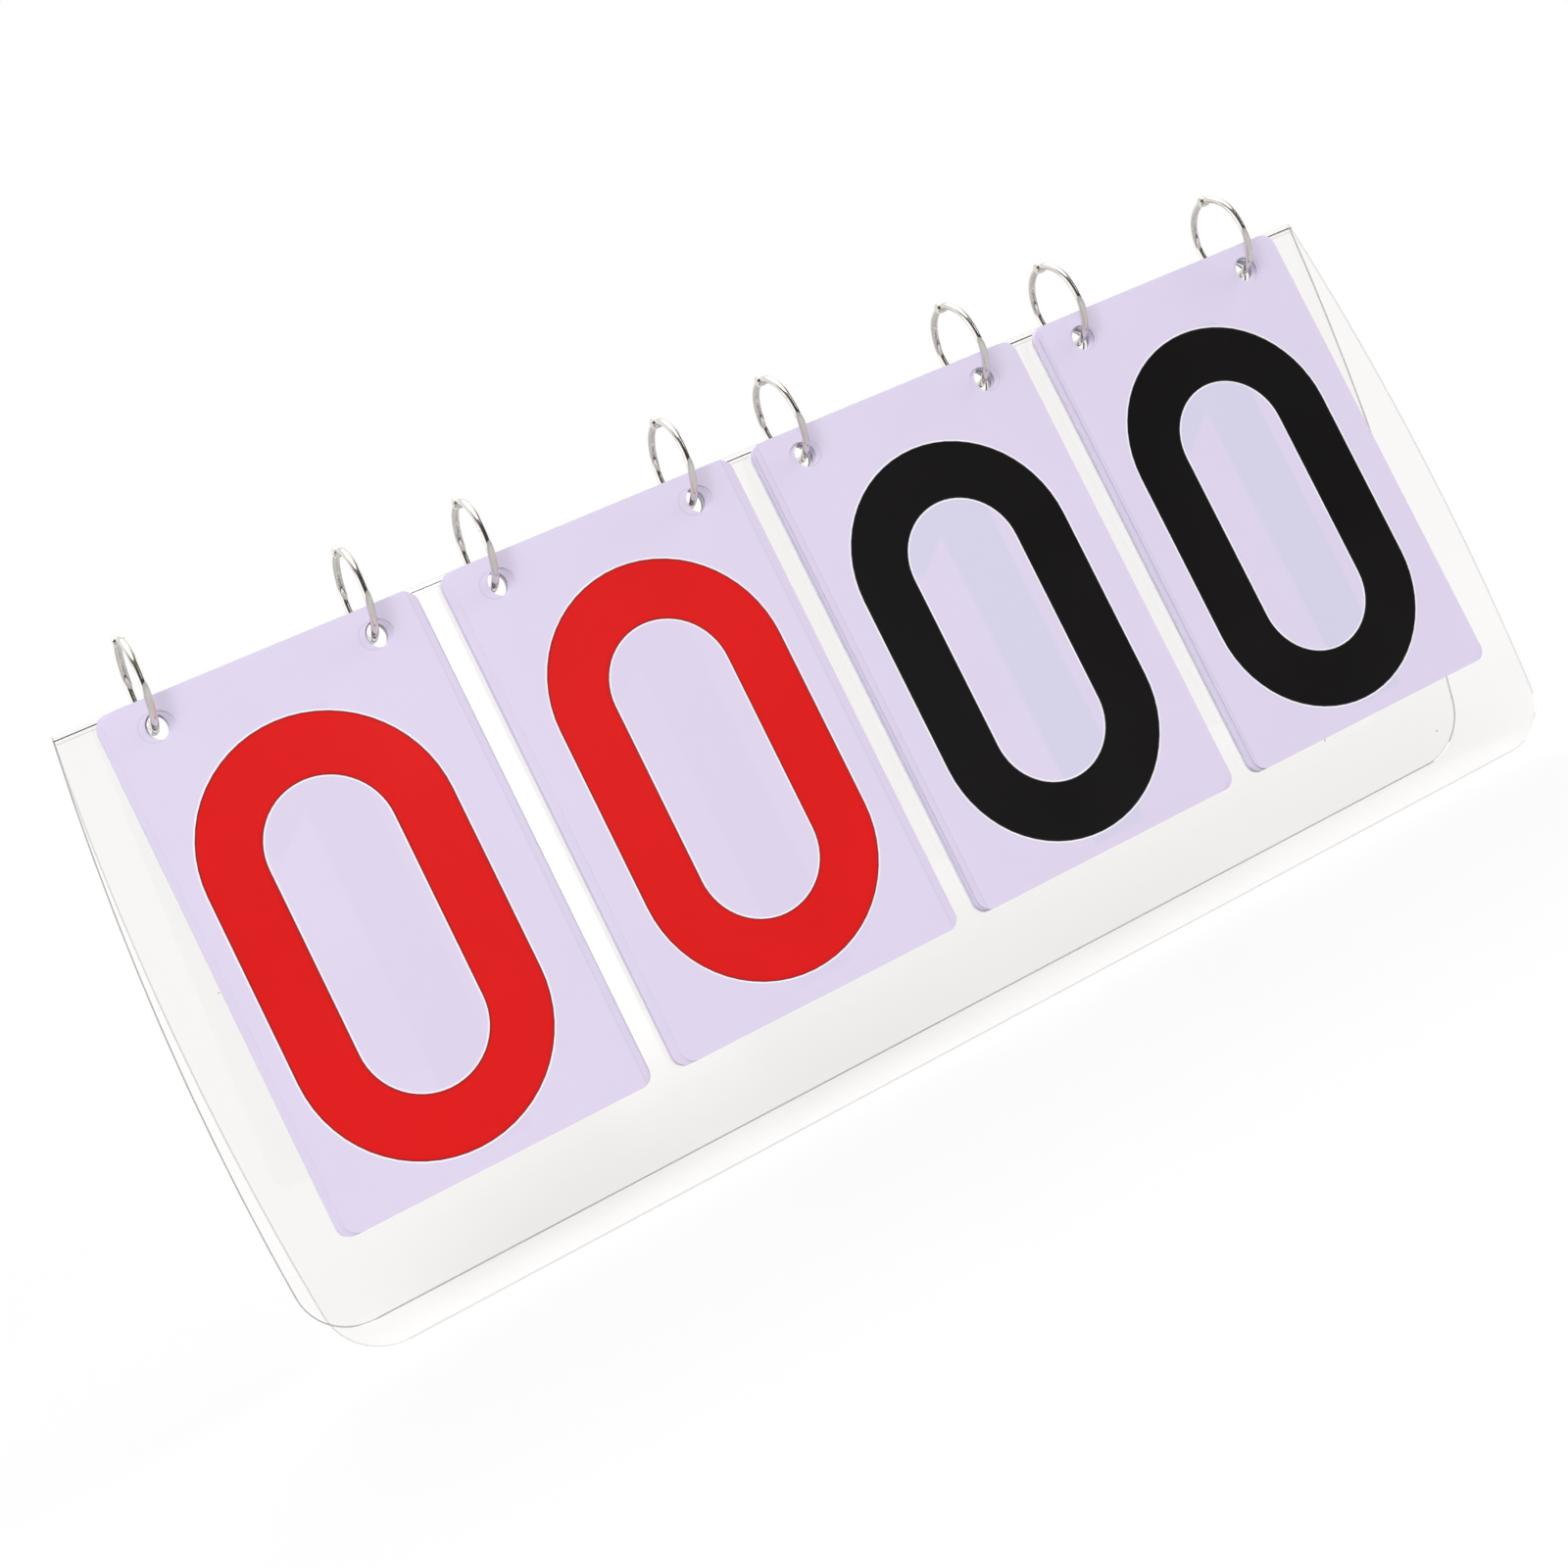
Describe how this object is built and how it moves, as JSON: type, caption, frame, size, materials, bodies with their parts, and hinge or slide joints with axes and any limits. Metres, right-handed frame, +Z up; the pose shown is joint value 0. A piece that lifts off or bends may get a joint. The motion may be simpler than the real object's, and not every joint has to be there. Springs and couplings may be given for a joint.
{
  "type": "tabletop flip scoreboard",
  "caption": "Clear folded tent with stacks of number cards that hang on book rings and flip over the top to count a score.",
  "frame": {"origin": "centre of the footprint, on the surface that the tent stands on", "axes": "+X along the board, from the red stacks to the black ones as seen from the front; the cards face -Y; +Z up"},
  "size_m": [0.394, 0.0422, 0.1834],
  "materials": {
    "clear_sheet": "clear, glossy",
    "card": "satin",
    "nickel": "polished"
  },
  "bodies": {
    "front_panel": {"front_panel": "clear_sheet"},
    "back_panel": {"back_panel": "clear_sheet"},
    "red_tens_ring_left_front": {"red_tens_ring_left_front": "nickel"},
    "red_tens_ring_left_back": {"red_tens_ring_left_back": "nickel"},
    "red_tens_ring_right_front": {"red_tens_ring_right_front": "nickel"},
    "red_tens_ring_right_back": {"red_tens_ring_right_back": "nickel"},
    "red_tens_card_0": {"red_tens_card_0": "card"},
    "red_tens_card_1": {"red_tens_card_1": "card"},
    "red_tens_card_2": {"red_tens_card_2": "card"},
    "red_tens_card_3": {"red_tens_card_3": "card"},
    "red_tens_card_4": {"red_tens_card_4": "card"},
    "red_tens_card_5": {"red_tens_card_5": "card"},
    "red_tens_card_6": {"red_tens_card_6": "card"},
    "red_tens_card_7": {"red_tens_card_7": "card"},
    "red_tens_card_8": {"red_tens_card_8": "card"},
    "red_tens_card_9": {"red_tens_card_9": "card"},
    "red_ones_ring_left_front": {"red_ones_ring_left_front": "nickel"},
    "red_ones_ring_left_back": {"red_ones_ring_left_back": "nickel"},
    "red_ones_ring_right_front": {"red_ones_ring_right_front": "nickel"},
    "red_ones_ring_right_back": {"red_ones_ring_right_back": "nickel"},
    "red_ones_card_0": {"red_ones_card_0": "card"},
    "red_ones_card_1": {"red_ones_card_1": "card"},
    "red_ones_card_2": {"red_ones_card_2": "card"},
    "red_ones_card_3": {"red_ones_card_3": "card"},
    "red_ones_card_4": {"red_ones_card_4": "card"},
    "red_ones_card_5": {"red_ones_card_5": "card"},
    "red_ones_card_6": {"red_ones_card_6": "card"},
    "red_ones_card_7": {"red_ones_card_7": "card"},
    "red_ones_card_8": {"red_ones_card_8": "card"},
    "red_ones_card_9": {"red_ones_card_9": "card"},
    "black_tens_ring_left_front": {"black_tens_ring_left_front": "nickel"},
    "black_tens_ring_left_back": {"black_tens_ring_left_back": "nickel"},
    "black_tens_ring_right_front": {"black_tens_ring_right_front": "nickel"},
    "black_tens_ring_right_back": {"black_tens_ring_right_back": "nickel"},
    "black_tens_card_0": {"black_tens_card_0": "card"},
    "black_tens_card_1": {"black_tens_card_1": "card"},
    "black_tens_card_2": {"black_tens_card_2": "card"},
    "black_tens_card_3": {"black_tens_card_3": "card"},
    "black_tens_card_4": {"black_tens_card_4": "card"},
    "black_tens_card_5": {"black_tens_card_5": "card"},
    "black_tens_card_6": {"black_tens_card_6": "card"},
    "black_tens_card_7": {"black_tens_card_7": "card"},
    "black_tens_card_8": {"black_tens_card_8": "card"},
    "black_tens_card_9": {"black_tens_card_9": "card"},
    "black_ones_ring_left_front": {"black_ones_ring_left_front": "nickel"},
    "black_ones_ring_left_back": {"black_ones_ring_left_back": "nickel"},
    "black_ones_ring_right_front": {"black_ones_ring_right_front": "nickel"},
    "black_ones_ring_right_back": {"black_ones_ring_right_back": "nickel"},
    "black_ones_card_0": {"black_ones_card_0": "card"},
    "black_ones_card_1": {"black_ones_card_1": "card"},
    "black_ones_card_2": {"black_ones_card_2": "card"},
    "black_ones_card_3": {"black_ones_card_3": "card"},
    "black_ones_card_4": {"black_ones_card_4": "card"},
    "black_ones_card_5": {"black_ones_card_5": "card"},
    "black_ones_card_6": {"black_ones_card_6": "card"},
    "black_ones_card_7": {"black_ones_card_7": "card"},
    "black_ones_card_8": {"black_ones_card_8": "card"},
    "black_ones_card_9": {"black_ones_card_9": "card"}
  },
  "joints": [
    {"name": "tent_fold", "type": "hinge", "parent": "front_panel", "child": "back_panel", "pos_m": [0, 0, 0.16576], "axis": [-1, 0, 0], "range_deg": [-33, 12], "stiffness_Nm_per_rad": 1.5},
    {"name": "red_tens_ring_left_lean", "type": "hinge", "parent": "front_panel", "child": "red_tens_ring_left_front", "pos_m": [-0.16962, 0, 0.15804], "axis": [0, -1, 0], "range_deg": [-57, 3]},
    {"name": "red_tens_ring_left_open", "type": "hinge", "parent": "red_tens_ring_left_front", "child": "red_tens_ring_left_back", "pos_m": [-0.16837, 0, 0.18187], "axis": [-0.9986, 0, 0.0523], "range_deg": [-70, 0]},
    {"name": "red_tens_ring_right_lean", "type": "hinge", "parent": "front_panel", "child": "red_tens_ring_right_front", "pos_m": [-0.11063, 0, 0.15804], "axis": [0, -1, 0], "range_deg": [-57, 3]},
    {"name": "red_tens_ring_right_open", "type": "hinge", "parent": "red_tens_ring_right_front", "child": "red_tens_ring_right_back", "pos_m": [-0.10938, 0, 0.18187], "axis": [-0.9986, 0, 0.0523], "range_deg": [-70, 0]},
    {"name": "red_tens_flip_0", "type": "hinge", "parent": "red_tens_card_1", "child": "red_tens_card_0", "pos_m": [0, 0, 0.16995], "axis": [-1, 0, 0], "range_deg": [0, 300]},
    {"name": "red_tens_flip_1", "type": "hinge", "parent": "red_tens_card_2", "child": "red_tens_card_1", "pos_m": [0, 0, 0.16995], "axis": [-1, 0, 0], "range_deg": [0, 300]},
    {"name": "red_tens_flip_2", "type": "hinge", "parent": "red_tens_card_3", "child": "red_tens_card_2", "pos_m": [0, 0, 0.16995], "axis": [-1, 0, 0], "range_deg": [0, 300]},
    {"name": "red_tens_flip_3", "type": "hinge", "parent": "red_tens_card_4", "child": "red_tens_card_3", "pos_m": [0, 0, 0.16995], "axis": [-1, 0, 0], "range_deg": [0, 300]},
    {"name": "red_tens_flip_4", "type": "hinge", "parent": "red_tens_card_5", "child": "red_tens_card_4", "pos_m": [0, 0, 0.16995], "axis": [-1, 0, 0], "range_deg": [0, 300]},
    {"name": "red_tens_flip_5", "type": "hinge", "parent": "red_tens_card_6", "child": "red_tens_card_5", "pos_m": [0, 0, 0.16995], "axis": [-1, 0, 0], "range_deg": [0, 300]},
    {"name": "red_tens_flip_6", "type": "hinge", "parent": "red_tens_card_7", "child": "red_tens_card_6", "pos_m": [0, 0, 0.16995], "axis": [-1, 0, 0], "range_deg": [0, 300]},
    {"name": "red_tens_flip_7", "type": "hinge", "parent": "red_tens_card_8", "child": "red_tens_card_7", "pos_m": [0, 0, 0.16995], "axis": [-1, 0, 0], "range_deg": [0, 300]},
    {"name": "red_tens_flip_8", "type": "hinge", "parent": "red_tens_card_9", "child": "red_tens_card_8", "pos_m": [0, 0, 0.16995], "axis": [-1, 0, 0], "range_deg": [0, 300]},
    {"name": "red_tens_flip_9", "type": "hinge", "parent": "front_panel", "child": "red_tens_card_9", "pos_m": [0, 0, 0.16995], "axis": [-1, 0, 0], "range_deg": [0, 300]},
    {"name": "red_ones_ring_left_lean", "type": "hinge", "parent": "front_panel", "child": "red_ones_ring_left_front", "pos_m": [-0.07662, 0, 0.15804], "axis": [0, -1, 0], "range_deg": [-57, 3]},
    {"name": "red_ones_ring_left_open", "type": "hinge", "parent": "red_ones_ring_left_front", "child": "red_ones_ring_left_back", "pos_m": [-0.07537, 0, 0.18187], "axis": [-0.9986, 0, 0.0523], "range_deg": [-70, 0]},
    {"name": "red_ones_ring_right_lean", "type": "hinge", "parent": "front_panel", "child": "red_ones_ring_right_front", "pos_m": [-0.01762, 0, 0.15804], "axis": [0, -1, 0], "range_deg": [-57, 3]},
    {"name": "red_ones_ring_right_open", "type": "hinge", "parent": "red_ones_ring_right_front", "child": "red_ones_ring_right_back", "pos_m": [-0.01638, 0, 0.18187], "axis": [-0.9986, 0, 0.0523], "range_deg": [-70, 0]},
    {"name": "red_ones_flip_0", "type": "hinge", "parent": "red_ones_card_1", "child": "red_ones_card_0", "pos_m": [0, 0, 0.16995], "axis": [-1, 0, 0], "range_deg": [0, 300]},
    {"name": "red_ones_flip_1", "type": "hinge", "parent": "red_ones_card_2", "child": "red_ones_card_1", "pos_m": [0, 0, 0.16995], "axis": [-1, 0, 0], "range_deg": [0, 300]},
    {"name": "red_ones_flip_2", "type": "hinge", "parent": "red_ones_card_3", "child": "red_ones_card_2", "pos_m": [0, 0, 0.16995], "axis": [-1, 0, 0], "range_deg": [0, 300]},
    {"name": "red_ones_flip_3", "type": "hinge", "parent": "red_ones_card_4", "child": "red_ones_card_3", "pos_m": [0, 0, 0.16995], "axis": [-1, 0, 0], "range_deg": [0, 300]},
    {"name": "red_ones_flip_4", "type": "hinge", "parent": "red_ones_card_5", "child": "red_ones_card_4", "pos_m": [0, 0, 0.16995], "axis": [-1, 0, 0], "range_deg": [0, 300]},
    {"name": "red_ones_flip_5", "type": "hinge", "parent": "red_ones_card_6", "child": "red_ones_card_5", "pos_m": [0, 0, 0.16995], "axis": [-1, 0, 0], "range_deg": [0, 300]},
    {"name": "red_ones_flip_6", "type": "hinge", "parent": "red_ones_card_7", "child": "red_ones_card_6", "pos_m": [0, 0, 0.16995], "axis": [-1, 0, 0], "range_deg": [0, 300]},
    {"name": "red_ones_flip_7", "type": "hinge", "parent": "red_ones_card_8", "child": "red_ones_card_7", "pos_m": [0, 0, 0.16995], "axis": [-1, 0, 0], "range_deg": [0, 300]},
    {"name": "red_ones_flip_8", "type": "hinge", "parent": "red_ones_card_9", "child": "red_ones_card_8", "pos_m": [0, 0, 0.16995], "axis": [-1, 0, 0], "range_deg": [0, 300]},
    {"name": "red_ones_flip_9", "type": "hinge", "parent": "front_panel", "child": "red_ones_card_9", "pos_m": [0, 0, 0.16995], "axis": [-1, 0, 0], "range_deg": [0, 300]},
    {"name": "black_tens_ring_left_lean", "type": "hinge", "parent": "front_panel", "child": "black_tens_ring_left_front", "pos_m": [0.01762, 0, 0.15804], "axis": [0, 1, 0], "range_deg": [-34, 3]},
    {"name": "black_tens_ring_left_open", "type": "hinge", "parent": "black_tens_ring_left_front", "child": "black_tens_ring_left_back", "pos_m": [0.01638, 0, 0.18187], "axis": [-0.9986, 0, -0.0523], "range_deg": [-70, 0]},
    {"name": "black_tens_ring_right_lean", "type": "hinge", "parent": "front_panel", "child": "black_tens_ring_right_front", "pos_m": [0.07662, 0, 0.15804], "axis": [0, 1, 0], "range_deg": [-57, 3]},
    {"name": "black_tens_ring_right_open", "type": "hinge", "parent": "black_tens_ring_right_front", "child": "black_tens_ring_right_back", "pos_m": [0.07537, 0, 0.18187], "axis": [-0.9986, 0, -0.0523], "range_deg": [-70, 0]},
    {"name": "black_tens_flip_0", "type": "hinge", "parent": "black_tens_card_1", "child": "black_tens_card_0", "pos_m": [0, 0, 0.16995], "axis": [-1, 0, 0], "range_deg": [0, 300]},
    {"name": "black_tens_flip_1", "type": "hinge", "parent": "black_tens_card_2", "child": "black_tens_card_1", "pos_m": [0, 0, 0.16995], "axis": [-1, 0, 0], "range_deg": [0, 300]},
    {"name": "black_tens_flip_2", "type": "hinge", "parent": "black_tens_card_3", "child": "black_tens_card_2", "pos_m": [0, 0, 0.16995], "axis": [-1, 0, 0], "range_deg": [0, 300]},
    {"name": "black_tens_flip_3", "type": "hinge", "parent": "black_tens_card_4", "child": "black_tens_card_3", "pos_m": [0, 0, 0.16995], "axis": [-1, 0, 0], "range_deg": [0, 300]},
    {"name": "black_tens_flip_4", "type": "hinge", "parent": "black_tens_card_5", "child": "black_tens_card_4", "pos_m": [0, 0, 0.16995], "axis": [-1, 0, 0], "range_deg": [0, 300]},
    {"name": "black_tens_flip_5", "type": "hinge", "parent": "black_tens_card_6", "child": "black_tens_card_5", "pos_m": [0, 0, 0.16995], "axis": [-1, 0, 0], "range_deg": [0, 300]},
    {"name": "black_tens_flip_6", "type": "hinge", "parent": "black_tens_card_7", "child": "black_tens_card_6", "pos_m": [0, 0, 0.16995], "axis": [-1, 0, 0], "range_deg": [0, 300]},
    {"name": "black_tens_flip_7", "type": "hinge", "parent": "black_tens_card_8", "child": "black_tens_card_7", "pos_m": [0, 0, 0.16995], "axis": [-1, 0, 0], "range_deg": [0, 300]},
    {"name": "black_tens_flip_8", "type": "hinge", "parent": "black_tens_card_9", "child": "black_tens_card_8", "pos_m": [0, 0, 0.16995], "axis": [-1, 0, 0], "range_deg": [0, 300]},
    {"name": "black_tens_flip_9", "type": "hinge", "parent": "front_panel", "child": "black_tens_card_9", "pos_m": [0, 0, 0.16995], "axis": [-1, 0, 0], "range_deg": [0, 300]},
    {"name": "black_ones_ring_left_lean", "type": "hinge", "parent": "front_panel", "child": "black_ones_ring_left_front", "pos_m": [0.11063, 0, 0.15804], "axis": [0, 1, 0], "range_deg": [-57, 3]},
    {"name": "black_ones_ring_left_open", "type": "hinge", "parent": "black_ones_ring_left_front", "child": "black_ones_ring_left_back", "pos_m": [0.10938, 0, 0.18187], "axis": [-0.9986, 0, -0.0523], "range_deg": [-70, 0]},
    {"name": "black_ones_ring_right_lean", "type": "hinge", "parent": "front_panel", "child": "black_ones_ring_right_front", "pos_m": [0.16962, 0, 0.15804], "axis": [0, 1, 0], "range_deg": [-57, 3]},
    {"name": "black_ones_ring_right_open", "type": "hinge", "parent": "black_ones_ring_right_front", "child": "black_ones_ring_right_back", "pos_m": [0.16837, 0, 0.18187], "axis": [-0.9986, 0, -0.0523], "range_deg": [-70, 0]},
    {"name": "black_ones_flip_0", "type": "hinge", "parent": "black_ones_card_1", "child": "black_ones_card_0", "pos_m": [0, 0, 0.16995], "axis": [-1, 0, 0], "range_deg": [0, 300]},
    {"name": "black_ones_flip_1", "type": "hinge", "parent": "black_ones_card_2", "child": "black_ones_card_1", "pos_m": [0, 0, 0.16995], "axis": [-1, 0, 0], "range_deg": [0, 300]},
    {"name": "black_ones_flip_2", "type": "hinge", "parent": "black_ones_card_3", "child": "black_ones_card_2", "pos_m": [0, 0, 0.16995], "axis": [-1, 0, 0], "range_deg": [0, 300]},
    {"name": "black_ones_flip_3", "type": "hinge", "parent": "black_ones_card_4", "child": "black_ones_card_3", "pos_m": [0, 0, 0.16995], "axis": [-1, 0, 0], "range_deg": [0, 300]},
    {"name": "black_ones_flip_4", "type": "hinge", "parent": "black_ones_card_5", "child": "black_ones_card_4", "pos_m": [0, 0, 0.16995], "axis": [-1, 0, 0], "range_deg": [0, 300]},
    {"name": "black_ones_flip_5", "type": "hinge", "parent": "black_ones_card_6", "child": "black_ones_card_5", "pos_m": [0, 0, 0.16995], "axis": [-1, 0, 0], "range_deg": [0, 300]},
    {"name": "black_ones_flip_6", "type": "hinge", "parent": "black_ones_card_7", "child": "black_ones_card_6", "pos_m": [0, 0, 0.16995], "axis": [-1, 0, 0], "range_deg": [0, 300]},
    {"name": "black_ones_flip_7", "type": "hinge", "parent": "black_ones_card_8", "child": "black_ones_card_7", "pos_m": [0, 0, 0.16995], "axis": [-1, 0, 0], "range_deg": [0, 300]},
    {"name": "black_ones_flip_8", "type": "hinge", "parent": "black_ones_card_9", "child": "black_ones_card_8", "pos_m": [0, 0, 0.16995], "axis": [-1, 0, 0], "range_deg": [0, 300]},
    {"name": "black_ones_flip_9", "type": "hinge", "parent": "front_panel", "child": "black_ones_card_9", "pos_m": [0, 0, 0.16995], "axis": [-1, 0, 0], "range_deg": [0, 300]}
  ]
}
